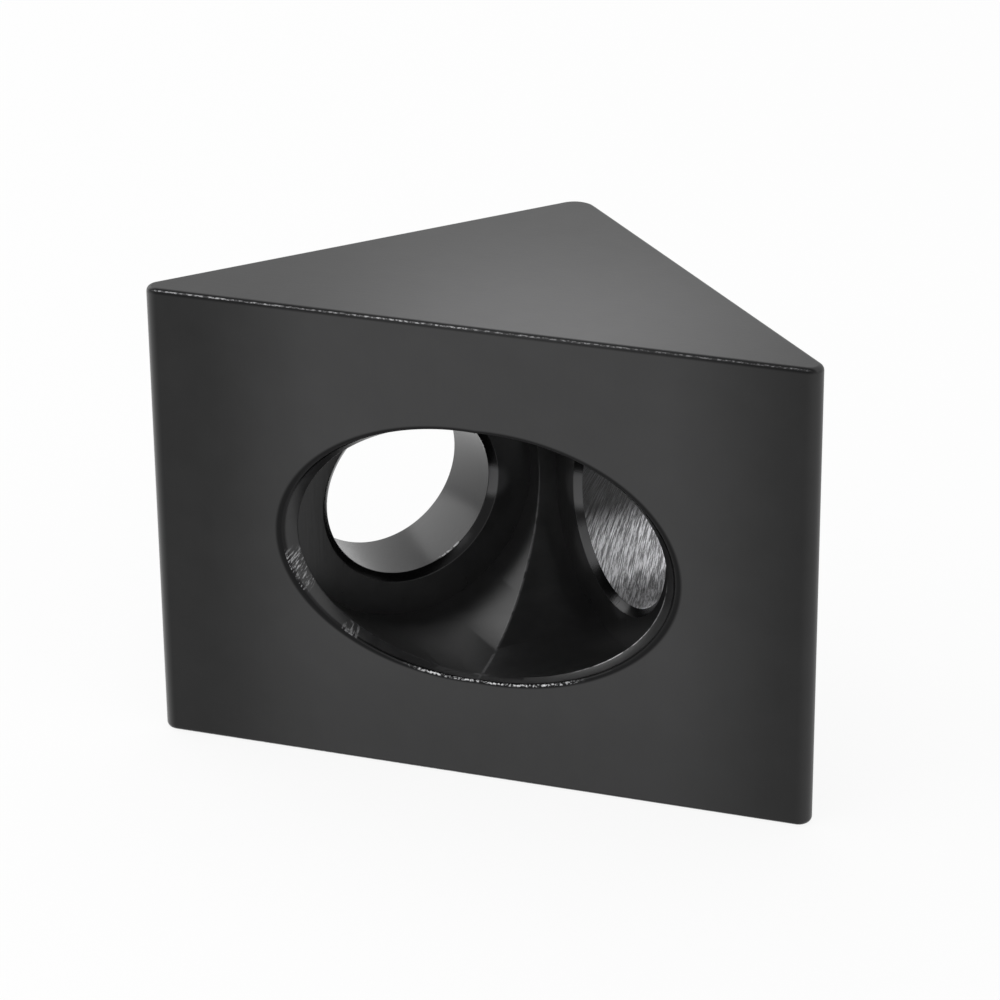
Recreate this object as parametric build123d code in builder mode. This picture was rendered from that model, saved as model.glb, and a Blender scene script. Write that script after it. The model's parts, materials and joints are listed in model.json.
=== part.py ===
"""T slot corner bracket: a black anodised aluminium wedge that ties two profiles at a right angle.

The bracket is one solid piece, sawn from a bar of right-angled triangular section.
Each leg face lies on a profile and has one counterbored screw hole through it.
The two counterbores cross and come out together through the sloping face, where the screws go in.

Frame: the bracket stands on one sawn end, with +Z up.
The origin is under the point where the two hole axes cross, in the plane of the lower end.
One leg face looks along +X, the other along +Y, and the sloping face looks along -X and -Y.
"""
from build123d import *
from math import sqrt
import os

os.makedirs("parts", exist_ok=True)

# ---- Driving dimensions, in millimetres ----
leg_length = 20.0  # each leg face, over its rounded ends
body_width = 20.0  # between the two sawn ends, the width of the profile
tip_radius = 0.55  # upright edges where a leg face meets the sloping face
heel_radius = 1.0  # upright edge where the two leg faces meet
end_break = 0.25  # worn round on the edges of both sawn ends

hole_diameter = 7.4  # clearance hole for the screw
counterbore_diameter = 11.0  # room for the screw head
hole_from_heel = 10.0  # hole axis, from the outer face of the other leg
land_length = 3.4  # hole from the leg face to the chamfer at its seat
seat_chamfer = 0.3  # broken edge between the hole and the seat of the screw head
leg_face_break = 0.15  # broken edge of the hole on the leg face
mouth_break = 0.1  # worn round where the counterbores leave the sloping face

# ---- Sizes that follow ----
hole_radius = hole_diameter / 2
counterbore_radius = counterbore_diameter / 2
heel_place = hole_from_heel  # leg faces, from the origin along +X and along +Y
seat_place = heel_place - land_length - seat_chamfer  # seat of the screw head, from the crossing of the axes
sharp_leg = leg_length + sqrt(2) * tip_radius  # leg before its acute corner is rounded
tip_place = heel_place - sharp_leg

axis_crossing = (0, 0, body_width / 2)
hole_along_y = Plane(origin=axis_crossing, x_dir=(1, 0, 0), z_dir=(0, -1, 0))
hole_along_x = Plane(origin=axis_crossing, x_dir=(0, 1, 0), z_dir=(-1, 0, 0))
towards_heel = Axis((0, 0, 0), (1, 1, 0))
across_slope = Axis((0, 0, 0), (1, -1, 0))

with BuildPart() as bracket:
    # Triangular bar section with rounded corners, as long as the profile is wide
    with BuildSketch() as section:
        with BuildLine():
            Polyline((heel_place, heel_place), (tip_place, heel_place), (heel_place, tip_place), close=True)
        make_face()
        fillet(section.vertices().sort_by(towards_heel)[-1], radius=heel_radius)
        tips = section.vertices().sort_by(across_slope)
        fillet((tips[0], tips[-1]), radius=tip_radius)
    extrude(amount=body_width)

    # Edges of both sawn ends, worn round
    fillet(bracket.faces().filter_by(Axis.Z).edges(), radius=end_break)

    # A counterbored hole through each leg, open all the way out through the sloping face
    for hole_plane, towards_leg in ((hole_along_y, Axis.Y), (hole_along_x, Axis.X)):
        with Locations(hole_plane):
            CounterBoreHole(
                radius=hole_radius,
                counter_bore_radius=counterbore_radius,
                counter_bore_depth=seat_place,
                depth=heel_place,
            )
        rims = bracket.edges(Select.LAST).filter_by(GeomType.CIRCLE).group_by(SortBy.RADIUS)[0]
        seat_rim, leg_face_rim = rims.sort_by(towards_leg)
        chamfer(seat_rim, length=seat_chamfer)
        chamfer(leg_face_rim, length=leg_face_break)

    # Mouth where the two counterbores leave the sloping face, worn round
    sloping_face = bracket.faces().filter_by(Plane(origin=(0, 0, 0), z_dir=towards_heel.direction))[0]
    fillet(sloping_face.inner_wires()[0].edges(), radius=mouth_break)

bracket.part.label = "bracket"
export_step(bracket.part, "parts/bracket.step")
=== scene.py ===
import json
from math import cos, hypot, pi, radians, sin, sqrt

import bmesh
import bpy
from mathutils import Matrix, Vector


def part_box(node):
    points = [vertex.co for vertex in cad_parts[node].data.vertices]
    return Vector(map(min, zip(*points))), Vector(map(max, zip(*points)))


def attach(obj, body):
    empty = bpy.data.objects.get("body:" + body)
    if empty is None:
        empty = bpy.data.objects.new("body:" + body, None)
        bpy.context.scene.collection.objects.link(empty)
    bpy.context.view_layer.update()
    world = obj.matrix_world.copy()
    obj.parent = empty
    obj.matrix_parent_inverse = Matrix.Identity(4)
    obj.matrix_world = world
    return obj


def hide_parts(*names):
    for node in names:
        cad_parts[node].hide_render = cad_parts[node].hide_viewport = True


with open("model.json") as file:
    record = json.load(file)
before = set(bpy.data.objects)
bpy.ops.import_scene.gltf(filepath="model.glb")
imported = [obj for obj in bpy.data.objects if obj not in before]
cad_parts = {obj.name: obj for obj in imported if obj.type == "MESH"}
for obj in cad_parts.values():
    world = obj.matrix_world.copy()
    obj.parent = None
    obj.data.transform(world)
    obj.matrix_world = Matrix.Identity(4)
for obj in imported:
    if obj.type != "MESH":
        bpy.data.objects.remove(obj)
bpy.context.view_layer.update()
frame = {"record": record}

# A t slot corner bracket: a wedge of black anodised aluminium that ties two profiles at a right angle.
# It gets its worn edges, its turned and scratched holes, and the grain of each of its surfaces here, with
# painted shade on its broken edges and painted highlights on its faces, chamfers and one bore.

# ---- Sizes of the bracket, in millimetres: what the imported model and its record give, then the rest ----
MM = 0.001  # one millimetre, in Blender's metres
low, high = (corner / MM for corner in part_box("bracket"))
mounts = {mount["name"]: mount for mount in frame["record"]["mounts"]}
heel_place = high.x  # leg faces, from the origin along +X and along +Y
leg_length = high.x - low.x
body_width = high.z - low.z
axis_height = mounts["screw_hole_y"]["pos_m"][2] / MM
hole_radius = mounts["screw_hole_y"]["dims"]["r_mm"]

tip_radius = 0.55  # upright edges where a leg face meets the sloping face
heel_radius = 1.0  # upright edge where the two leg faces meet
end_break = 0.25  # worn round on the edges of both sawn ends
counterbore_radius = 5.5
land_length = 3.4  # hole from the leg face to the chamfer at its seat
seat_chamfer = 0.3
leg_face_break = 0.15
mouth_break = 0.1  # worn round where the counterbores leave the sloping face
ridge_break = 0.04  # worn round where one counterbore's wall meets the other's
bore_break = 0.03  # fine round on the turned edges inside the holes

seat_place = heel_place - land_length - seat_chamfer
slope_sum = 2 * heel_place - leg_length - sqrt(2) * tip_radius  # x + y on the sloping face
slope_normal = Vector((-1, -1, 0)).normalized()


# ---- Shader values ----
class Value:
    """A number, colour or vector in a material. Arithmetic on it adds the Math nodes."""

    def __init__(self, finish, socket):
        self.finish = finish
        self.socket = socket

    def math(self, operation, *others):
        return self.finish.node("ShaderNodeMath", {"operation": operation}, dict(enumerate((self, *others))))

    def turned_round(self, operation, other):
        return self.finish.node("ShaderNodeMath", {"operation": operation}, {0: other, 1: self})

    def __add__(self, other):
        return self.math("ADD", other)

    def __radd__(self, other):
        return self.turned_round("ADD", other)

    def __sub__(self, other):
        return self.math("SUBTRACT", other)

    def __rsub__(self, other):
        return self.turned_round("SUBTRACT", other)

    def __mul__(self, other):
        return self.math("MULTIPLY", other)

    def __rmul__(self, other):
        return self.turned_round("MULTIPLY", other)

    def __truediv__(self, other):
        return self.math("DIVIDE", other)

    def __rtruediv__(self, other):
        return self.turned_round("DIVIDE", other)

    def __abs__(self):
        return self.math("ABSOLUTE")

    def least(self, other):
        return self.math("MINIMUM", other)

    def most(self, other):
        return self.math("MAXIMUM", other)

    def fade(self, start, end, at_start=0.0, at_end=1.0):
        """at_start up to start, at_end from end on, and a smooth step between."""
        limits = {"Value": self, "From Min": start, "From Max": end, "To Min": at_start, "To Max": at_end}
        return self.finish.node("ShaderNodeMapRange", {"interpolation_type": "SMOOTHSTEP"}, limits)


class Finish:
    """One material. node() adds any node: its settings are set first, then its sockets."""

    def __init__(self, name):
        self.material = bpy.data.materials.new(name)
        self.material.use_nodes = True
        self.tree = self.material.node_tree
        self.shader = self.tree.nodes["Principled BSDF"]

    def node(self, kind, settings=None, sockets=None, output=0):
        made = self.tree.nodes.new(kind)
        for name, value in (settings or {}).items():
            setattr(made, name, value)
        for name, value in (sockets or {}).items():
            self.feed(made.inputs[name], value)
        return Value(self, made.outputs[output])

    def feed(self, socket, value):
        if isinstance(value, Value):
            self.tree.links.new(value.socket, socket)
        else:
            socket.default_value = value

    def surface(self, **sockets):
        """Sets or links the shader's own sockets, named with _ for a space."""
        for name, value in sockets.items():
            self.feed(self.shader.inputs[name.replace("_", " ")], value)

    def joined(self, x, y, z):
        return self.node("ShaderNodeCombineXYZ", {}, {0: x, 1: y, 2: z})

    def noise(self, place, scale, detail=2.0, roughness=0.5):
        """A soft random value about one half, with scale features to a millimetre."""
        sockets = {"Vector": place, "Scale": scale, "Detail": detail, "Roughness": roughness}
        return self.node("ShaderNodeTexNoise", {}, sockets)

    def mixed(self, share, first, second):
        """A colour between two others."""
        sockets = {"Factor": share, 6: first, 7: second}
        return self.node("ShaderNodeMix", {"data_type": "RGBA"}, sockets, output=2)

    def bump(self, height, depth):
        """The normal of a surface that is height times depth, in millimetres, proud."""
        return self.node("ShaderNodeBump", {}, {"Height": height * (depth * MM), "Distance": 1.0})


# ---- Materials ----
EDGE_SHADE_BLACK = (0.0075, 0.0075, 0.0078, 1)  # painted shade: the near black that the broken edges are pulled towards
BARE = (0.56, 0.56, 0.57, 1)  # aluminium showing through


class Anodised(Finish):
    """Black anodised aluminium, with every place on the bracket in millimetres."""

    def __init__(self, name):
        super().__init__(name)
        place = self.node("ShaderNodeTexCoord", {}, {}, output="Object")
        self.place = self.node("ShaderNodeVectorMath", {"operation": "SCALE"}, {0: place, "Scale": 1 / MM})
        self.x, self.y, self.z = (
            self.node("ShaderNodeSeparateXYZ", {}, {0: self.place}, output=axis) for axis in range(3)
        )
        self.rise = self.z - axis_height
        self.along_slope = (self.x - self.y) * sqrt(0.5)
        self.from_slope = (self.x + self.y - slope_sum) * sqrt(0.5)
        self.from_leg_x = heel_place - self.x
        self.from_leg_y = heel_place - self.y
        self.from_end = self.z.least(body_width - self.z)
        self.from_axis_y = self.length(self.x, self.rise)
        self.from_axis_x = self.length(self.y, self.rise)
        self.from_axes = self.from_axis_y.least(self.from_axis_x)

    def length(self, first, second):
        return (first * first + second * second).math("POWER", 0.5)

    def streaks(self, direction, across, along):
        """Fine lines: a noise drawn out along one direction, in features to a millimetre."""
        first, second, third = direction
        return self.noise(self.joined(first * across, second * along, third * across), 1.0, detail=3.0)

    def end_edges(self):
        """1 on the crest of the edges of the sawn ends."""
        side = self.from_slope.least(self.from_leg_x).least(self.from_leg_y)
        return self.from_end.most(side).fade(0.44 * end_break, 0.32 * end_break)

    def shade(self):
        """1 over the whole of each broken edge, where painted shade darkens the skin."""
        side = self.from_slope.least(self.from_leg_x).least(self.from_leg_y)
        ends = self.from_end.most(side).fade(0.95 * end_break, 0.5 * end_break)
        wall = abs(self.from_axes - counterbore_radius)
        mouth = self.from_slope.most(wall).fade(2.0 * mouth_break, 0.9 * mouth_break)
        return ends.most(mouth)

    def mouth_edge(self):
        """1 on the crest of the mouth's edge."""
        wall = abs(self.from_axes - counterbore_radius)
        return self.from_slope.most(wall).fade(1.0 * mouth_break, 0.5 * mouth_break)

    def ridge_edge(self):
        """1 where one counterbore's wall meets the other's."""
        first = abs(self.from_axis_y - counterbore_radius)
        second = abs(self.from_axis_x - counterbore_radius)
        on_both = first.most(second).fade(0.12, 0.06)
        crest = abs(self.x - self.y).least(abs(self.x + self.y))
        return on_both * crest.fade(2.6 * ridge_break, 1.3 * ridge_break)

    def near(self, place, reach):
        """1 at a place in millimetres, falling to 0 at its reach."""
        ends = {0: self.place, 1: place}
        away = self.node("ShaderNodeVectorMath", {"operation": "DISTANCE"}, ends, output="Value")
        return away.fade(reach, 0.5 * reach)

    def specks(self, length, thickness, least, most):
        """Worn flecks: long, level blobs of a noise, between two of its levels."""
        stretched = self.joined(self.x / length, self.y / length, self.z / thickness)
        return self.noise(stretched, 1.0, detail=3.0, roughness=0.6).fade(least, most)

    def worn(self):
        """How much bare metal shows along the edges."""
        patches = self.noise(self.place, 0.35).fade(0.38, 0.58)
        towards_left = self.along_slope.fade(9.0, -6.0, 0.35, 1.0)
        flecks = self.specks(0.16, 0.06, 0.46, 0.6)
        ends = self.end_edges() * (flecks * 0.85 + 0.12) * (patches * 0.55 + 0.45) * towards_left
        low = self.rise.fade(-3.6, -4.8) * abs(self.along_slope - 0.7).fade(4.0, 2.6)
        mouth = self.mouth_edge() * self.specks(0.12, 0.1, 0.48, 0.6) * low
        right_lip = self.along_slope.fade(3.0, 6.0) * self.rise.fade(0.0, -1.5) * 0.9
        lower_ridge = self.rise.fade(0.0, -3.0) * abs(self.along_slope).fade(0.4, 0.2) * 0.12
        ridge = self.ridge_edge() * self.specks(0.7, 0.4, 0.34, 0.55) * (right_lip + lower_ridge)
        return ends.most(mouth).most(ridge)

    def dressed(self, colour, sheen, height, depth, scars=None, dark=None):
        """The skin's colour and roughness, under worn edges, scars and painted shade, over a fine relief."""
        worn = self.worn()
        if scars is not None:
            worn = worn.most(scars)
        # Painted shade on every broken edge, joined by any extra painted shade given: it pulls the colour
        # towards near black and turns it to metal, so these edges reflect little light.
        shade = self.shade() * 0.75
        if dark is not None:
            shade = shade.most(dark)
        skin = self.mixed(shade, colour, EDGE_SHADE_BLACK)
        self.surface(
            Base_Color=self.mixed(worn, skin, BARE),
            Metallic=worn.most(shade),
            Roughness=(sheen - shade * 0.1) * (1 - worn) + worn * 0.34,
            Normal=self.bump(height, depth),
        )
        return self.material


def grey(level):
    return (level, level, level * 1.03, 1)


def sawn_end():
    """The two ends: short sawn streaks along the slope, and a painted highlight that makes them greyer
    towards the middle of the long edge.
    """
    finish = Anodised("sawn_end")
    streaks = finish.streaks((finish.from_slope, finish.along_slope, finish.z), 9.0, 0.9)
    grain = finish.noise(finish.place, 14.0)
    # Painted highlight: lighter towards the middle of the long edge, fading away from the sloping face.
    end_highlight = finish.from_slope.fade(13.0, 0.5) * abs(finish.along_slope - 2.5).fade(12.0, 1.0)
    mottle = finish.noise(finish.place, 0.8, detail=3.0)
    level = end_highlight * 0.75 + mottle * 0.2 + streaks * 0.12
    colour = finish.mixed(level, grey(0.006), grey(0.055))
    sheen = 0.36 + streaks * 0.05 + grain * 0.04
    return finish.dressed(colour, sheen, streaks * 0.5 + grain * 0.5, 0.004)


def drawn_face():
    """The sloping face and both leg faces: a satin skin with faint upright drawing lines, and painted
    highlights in the middle of each face and on the upright corners.
    """
    finish = Anodised("drawn_face")
    lines = finish.streaks((finish.along_slope, finish.z, finish.from_slope), 6.0, 0.25)
    grain = finish.noise(finish.place, 12.0)
    mottle = finish.noise(finish.place, 0.6, detail=3.0)
    # Painted highlight: the colour is lighter and the coat thicker towards the middle of each face.
    face_highlight = abs(finish.along_slope - 0.8).fade(13.0, 6.5)
    # Painted highlights on the upright corners, as coat, stronger on the left corner.
    corners = abs(finish.along_slope).fade(13.3, 13.8)
    corner_highlights = corners * finish.along_slope.fade(-1.0, 1.0, 0.9, 0.3)
    # Painted shade: the coat thins towards the bottom, so the faces are darker there.
    upper = finish.z.fade(0.0, 8.0, 0.6, 1.0)
    level = face_highlight * 0.6 + mottle * 0.25 + lines * 0.1
    colour = finish.mixed(level, grey(0.002), grey(0.02))
    sheen = 0.37 + lines * 0.04 + grain * 0.05
    dressed = finish.dressed(colour, sheen, lines * 0.4 + grain * 0.6, 0.004)
    # The coat holds the painted highlights; it is left off the painted shade of the broken edges.
    coat = (face_highlight * 0.44 + mottle * 0.06) * upper * (1 - finish.shade()) + corner_highlights
    finish.surface(Specular_IOR_Level=0.3, Coat_Weight=coat, Coat_Roughness=0.38)
    return dressed


def bored_wall():
    """Counterbores, seats and chamfers: turned, so glossier, with fine rings about each axis, and painted
    highlights and painted shade on the seat chamfers.
    """
    finish = Anodised("bored_wall")
    first = finish.streaks((finish.y, finish.rise, finish.x * 0.2), 11.0, 0.3)
    second = finish.streaks((finish.x, finish.rise, finish.y * 0.2), 11.0, 0.3)
    on_first = finish.from_axis_y.fade(counterbore_radius + 0.02, counterbore_radius - 0.02)
    rings = first * (1 - on_first) + second * on_first
    mottle = finish.noise(finish.place, 1.4, detail=4.0, roughness=0.65)
    left_burr = finish.near((-5.7, 5.2, 8.3), 1.1).most(finish.near((-4.1, 3.6, 5.9), 0.5) * 0.5)
    hair = finish.joined((finish.x - finish.z) * 9.0, (finish.x + finish.z) * 1.6, finish.y * 3.0)
    burrs = left_burr * finish.noise(hair, 1.0, detail=4.0, roughness=0.7).fade(0.5, 0.62)
    # Painted highlights: grey patches on the seat chamfers.
    upper_chamfer_highlights = finish.near((3.8, 6.5, 9.7), 0.9).most(finish.near((6.5, 3.8, 9.8), 1.1))
    lower_chamfer_highlights = finish.near((6.5, 2.9, 7.6), 1.3).most(finish.near((6.5, 0.0, 6.2), 0.8))
    from_leg = finish.from_leg_x.least(finish.from_leg_y)
    from_chamfer = abs(from_leg - land_length - 0.5 * seat_chamfer)
    on_chamfer = from_chamfer.fade(0.55 * seat_chamfer, 0.4 * seat_chamfer)
    patches = upper_chamfer_highlights.most(lower_chamfer_highlights * 0.7) * on_chamfer
    colour = finish.mixed(mottle * 0.7, grey(0.008), grey(0.026))
    colour = finish.mixed(patches, colour, grey(0.09))
    sheen = 0.25 + mottle * 0.1 + rings * 0.03
    # Painted shade on the rest of each seat chamfer.
    dark = (on_chamfer - patches).most(0) * 0.8
    relief = rings * 0.6 + mottle * 0.4 + burrs
    return finish.dressed(colour, sheen, relief, 0.006, scars=burrs * 0.7, dark=dark)


def smooth_bore():
    """The hole through the leg along Y, reamed smooth."""
    finish = Anodised("smooth_bore")
    rings = finish.streaks((finish.y, finish.rise, finish.x), 8.0, 0.2)
    mottle = finish.noise(finish.place, 0.9, detail=3.0)
    near_rim = abs(finish.from_leg_y - land_length).fade(0.14, 0.04)
    places = finish.near((1.9, 6.8, 6.8), 0.7).most(finish.near((3.4, 6.8, 11.4), 0.5))
    burr = near_rim * places * finish.specks(0.12, 0.12, 0.42, 0.56)
    colour = finish.mixed(mottle, grey(0.010), grey(0.028))
    colour = finish.mixed(burr, colour, BARE)
    return finish.dressed(colour, 0.2 + mottle * 0.08, rings + burr, 0.004)


def scratched_bore():
    """The hole through the leg along X, with bright helical scratches from chips dragged out by the drill,
    and a painted glint low on its wall.
    """
    finish = Anodised("scratched_bore")
    turn = finish.rise.math("ARCTAN2", finish.y) * hole_radius
    across = finish.x * 0.83 - turn * 0.56
    along = finish.x * 0.56 + turn * 0.83
    drag = finish.noise(finish.joined(across * 13.0, along * 0.9, 0.0), 1.0, detail=4.0, roughness=0.75)
    patch = finish.noise(finish.joined(across * 1.2, along * 0.7, 3.0), 1.0, detail=2.0)
    # Low on the wall more of the cut shows bright: partly real scratching, partly a painted glint where the
    # wall catches the light.
    scratch_glint_band = finish.rise.fade(-1.0, -2.5) * finish.rise.fade(-3.7, -3.3, 0.3, 1.0)
    cut = ((drag.fade(0.42, 0.6) + scratch_glint_band * 0.25) * (patch * 0.1 + scratch_glint_band)).least(1)
    colour = finish.mixed(cut, grey(0.010), grey(0.9))
    finish.surface(
        Base_Color=colour,
        Metallic=cut,
        Roughness=0.46 - drag * 0.12,
        Normal=finish.bump(drag + cut * 0.4, 0.05),
    )
    return finish.material


# ---- Mesh ----
def arc(shape, centre, radius, first_angle, sweep, steps):
    """An arc of the section, turned about an upright line: its first and its last vertex."""
    centre = Vector(centre)
    start = shape.verts.new(centre + Vector((cos(first_angle), sin(first_angle), 0)) * radius)
    turned = bmesh.ops.spin(shape, geom=[start], cent=centre, axis=(0, 0, 1), angle=sweep, steps=steps)
    end = next(part for part in turned["geom_last"] if isinstance(part, bmesh.types.BMVert))
    return start, end


def wedge():
    """The bar's triangular section with rounded corners, drawn up to the width and worn round at its ends."""
    shape = bmesh.new()
    tip = heel_place - leg_length + tip_radius
    side = heel_place - tip_radius
    heel = heel_place - heel_radius
    arcs = (
        arc(shape, (heel, heel, 0), heel_radius, 0, pi / 2, 16),
        arc(shape, (tip, side, 0), tip_radius, pi / 2, 3 * pi / 4, 24),
        arc(shape, (side, tip, 0), tip_radius, 5 * pi / 4, 3 * pi / 4, 24),
    )
    for (_, end), (start, _) in zip(arcs, arcs[1:] + arcs[:1]):
        shape.edges.new((end, start))
    bmesh.ops.edgeloop_fill(shape, edges=shape.edges[:])
    drawn = bmesh.ops.extrude_face_region(shape, geom=shape.faces[:])
    upper = [part for part in drawn["geom"] if isinstance(part, bmesh.types.BMVert)]
    bmesh.ops.translate(shape, verts=upper, vec=(0, 0, body_width))
    bmesh.ops.recalc_face_normals(shape, faces=shape.faces[:])
    level = [edge for edge in shape.edges if abs(edge.verts[0].co.z - edge.verts[1].co.z) < 1e-6]
    bmesh.ops.bevel(
        shape, geom=level, offset=end_break, offset_type="OFFSET", affect="EDGES",
        segments=6, profile=0.5, material=-1, clamp_overlap=True,
    )
    return shape


def hole_space():
    """The space of the hole along Y, its chamfers, its seat and its counterbore, turned about its axis."""
    shape = bmesh.new()
    spare = 1.0
    far = 1.5 * leg_length
    profile = [
        (0, heel_place + spare),
        (hole_radius + leg_face_break + spare, heel_place + spare),
        (hole_radius, heel_place - leg_face_break),
        (hole_radius, heel_place - land_length),
        (hole_radius + seat_chamfer, seat_place),
        (counterbore_radius, seat_place),
        (counterbore_radius, -far),
        (0, -far),
    ]
    points = [shape.verts.new((radius, place, 0)) for radius, place in profile]
    for pair in zip(points, points[1:]):
        shape.edges.new(pair)
    bmesh.ops.bevel(
        shape, geom=points[2:5], offset=bore_break, offset_type="OFFSET", affect="VERTICES",
        segments=3, profile=0.5, material=-1,
    )
    bmesh.ops.spin(
        shape, geom=shape.verts[:] + shape.edges[:], cent=(0, 0, 0), axis=(0, 1, 0),
        angle=2 * pi, steps=192, use_merge=True,
    )
    bmesh.ops.remove_doubles(shape, verts=shape.verts[:], dist=1e-5)
    bmesh.ops.recalc_face_normals(shape, faces=shape.faces[:])
    bmesh.ops.translate(shape, verts=shape.verts[:], vec=(0, 0, axis_height))
    return shape


def as_object(shape, name):
    mesh = bpy.data.meshes.new(name)
    shape.to_mesh(mesh)
    shape.free()
    made = bpy.data.objects.new(name, mesh)
    bpy.context.scene.collection.objects.link(made)
    return made


def drilled(solid, spaces):
    """The solid without the spaces, as a bmesh."""
    for space in spaces:
        cut = solid.modifiers.new("hole", "BOOLEAN")
        cut.operation = "DIFFERENCE"
        cut.solver = "EXACT"
        cut.object = space
    graph = bpy.context.evaluated_depsgraph_get()
    mesh = bpy.data.meshes.new_from_object(solid.evaluated_get(graph))
    shape = bmesh.new()
    shape.from_mesh(mesh)
    bpy.data.meshes.remove(mesh)
    for used in (solid, *spaces):
        bpy.data.objects.remove(used)
    bmesh.ops.remove_doubles(shape, verts=shape.verts[:], dist=1e-3)
    return shape


def worn_round(shape, edges, radius, segments):
    bmesh.ops.bevel(
        shape, geom=edges, offset=radius, offset_type="OFFSET", affect="EDGES",
        segments=segments, profile=0.5, material=-1, clamp_overlap=False,
    )


def bracket():
    space_y = hole_space()
    space_x = hole_space()
    swap = Matrix(((0, 1, 0, 0), (1, 0, 0, 0), (0, 0, 1, 0), (0, 0, 0, 1)))
    bmesh.ops.transform(space_x, matrix=swap, verts=space_x.verts[:])
    bmesh.ops.recalc_face_normals(space_x, faces=space_x.faces[:])
    spaces = [as_object(space_y, "space_y"), as_object(space_x, "space_x")]
    shape = drilled(as_object(wedge(), "wedge"), spaces)
    mouth_reach = 2.64 * counterbore_radius  # further than the mouth, nearer than the edges of the ends

    def on_mouth(vertex):
        x, y, z = vertex.co
        on_slope = abs(x + y - slope_sum) < 2e-3
        return on_slope and hypot(x - y, 2 * (z - axis_height)) < mouth_reach

    mouth = [
        edge for edge in shape.edges
        if all(on_mouth(v) for v in edge.verts)
        and sum(face.normal.dot(slope_normal) > 0.999 for face in edge.link_faces) == 1
    ]
    worn_round(shape, mouth, mouth_break, 6)
    ridge = [
        edge for edge in shape.edges
        if edge.calc_face_angle(0) > radians(20)
        and all(abs(abs(v.co.x) - abs(v.co.y)) < 2e-3 for v in edge.verts)
        and all(abs(hypot(v.co.x, v.co.z - axis_height) - counterbore_radius) < 0.02 for v in edge.verts)
    ]
    worn_round(shape, ridge, ridge_break, 3)
    return shape


shape = bracket()
for face in shape.faces:
    face.smooth = True
for edge in shape.edges:
    edge.smooth = edge.calc_face_angle(0) < radians(40)
bmesh.ops.scale(shape, vec=(MM, MM, MM), verts=shape.verts[:])
piece = as_object(shape, "bracket_finish")
even = piece.modifiers.new("even_normals", "WEIGHTED_NORMAL")
even.keep_sharp = True
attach(piece, "root")
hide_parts("bracket")

DRAWN, SAWN, BORED, SMOOTH, SCRATCHED = range(5)  # the order of the finishes on the piece
for finish in (drawn_face(), sawn_end(), bored_wall(), smooth_bore(), scratched_bore()):
    piece.data.materials.append(finish)


def finish_of(centre, normal):
    """Which finish a face takes, from its place in millimetres and the way it looks."""
    x, y = centre.x, centre.y
    rise = centre.z - axis_height
    from_axis_y, from_axis_x = hypot(x, rise), hypot(y, rise)
    inside = x + y > slope_sum + mouth_break * 0.5 and max(x, y) < heel_place - 1e-3
    if not (inside and min(from_axis_y, from_axis_x) < counterbore_radius + 0.01):
        return SAWN if abs(normal.z) > 0.5 else DRAWN
    if from_axis_y < hole_radius + 0.01 and y > heel_place - land_length:
        return SMOOTH
    if from_axis_x < hole_radius + 0.01 and x > heel_place - land_length:
        return SCRATCHED
    return BORED


for face in piece.data.polygons:
    face.material_index = finish_of(face.center / MM, face.normal)

# ---- Floor, lights and camera ----
floor_shape = bmesh.new()
bmesh.ops.create_grid(floor_shape, x_segments=1, y_segments=1, size=4.0)
floor = as_object(floor_shape, "floor")
pale = Finish("pale_floor")
pale.surface(Base_Color=(0.88, 0.88, 0.88, 1), Roughness=0.9)
paths = ("Is Camera Ray", "Is Glossy Ray", "Is Transmission Ray")
by_camera, by_gloss, by_glass = (pale.node("ShaderNodeLightPath", {}, {}, output=path) for path in paths)
seen = by_camera.most(by_gloss).most(by_glass)
white = pale.node("ShaderNodeEmission", {}, {"Strength": 1.0})
lit = Value(pale, pale.shader.outputs["BSDF"])
blend = pale.node("ShaderNodeMixShader", {}, {0: seen * 0.88, 1: lit, 2: white})
pale.feed(pale.tree.nodes["Material Output"].inputs["Surface"], blend)
floor.data.materials.append(pale.material)

world = bpy.data.worlds.new("studio")
bpy.context.scene.world = world
world.use_nodes = True
sky = world.node_tree.nodes["Background"]
sky.inputs["Color"].default_value = (1, 1, 1, 1)
sky.inputs["Strength"].default_value = 0.85


def softbox(name, place, width, height, aim, strength):
    """A soft panel of light, placed and aimed in millimetres; at strength 1 it looks white."""
    panel = bpy.data.objects.new(name, bpy.data.lights.new(name, "AREA"))
    panel.data.shape = "RECTANGLE"
    panel.data.size = width * MM
    panel.data.size_y = height * MM
    panel.data.energy = strength * pi * width * height * MM * MM
    turn = (Vector(aim) - Vector(place)).to_track_quat("-Z", "Y")
    panel.matrix_world = Matrix.Translation(Vector(place) * MM) @ turn.to_matrix().to_4x4()
    panel.visible_camera = False
    bpy.context.scene.collection.objects.link(panel)


softbox("behind", (23, 37, 48), 17, 14, (2.4, -3.2, 20), 1.5)
softbox("pool", (-22, -12, 34), 14, 14, (-19, -10, 0), 1.9)
softbox("back_left", (-91, 210, 134), 200, 200, (0, 0, 10), 1.1)
softbox("front_right", (105, -210, 123), 200, 200, (0, 0, 10), 0.4)
softbox("left", (-242, 27, 104), 200, 200, (0, 0, 10), 0.5)

camera = bpy.data.objects.new("camera", bpy.data.cameras.new("camera"))
bpy.context.scene.collection.objects.link(camera)
right = Vector((0.89272, -0.45052, -0.00853))
up = Vector((0.20143, 0.38206, 0.90192))
back = Vector((-0.40308, -0.80688, 0.43182))
place = Vector((-65.397, -132.753, 83.2)) * MM
camera.matrix_world = Matrix.Translation(place) @ Matrix((right, up, back)).transposed().to_4x4()
camera.data.lens = 148.426
camera.data.clip_start = 0.01
bpy.context.scene.camera = camera
bpy.context.scene.view_settings.view_transform = "Standard"
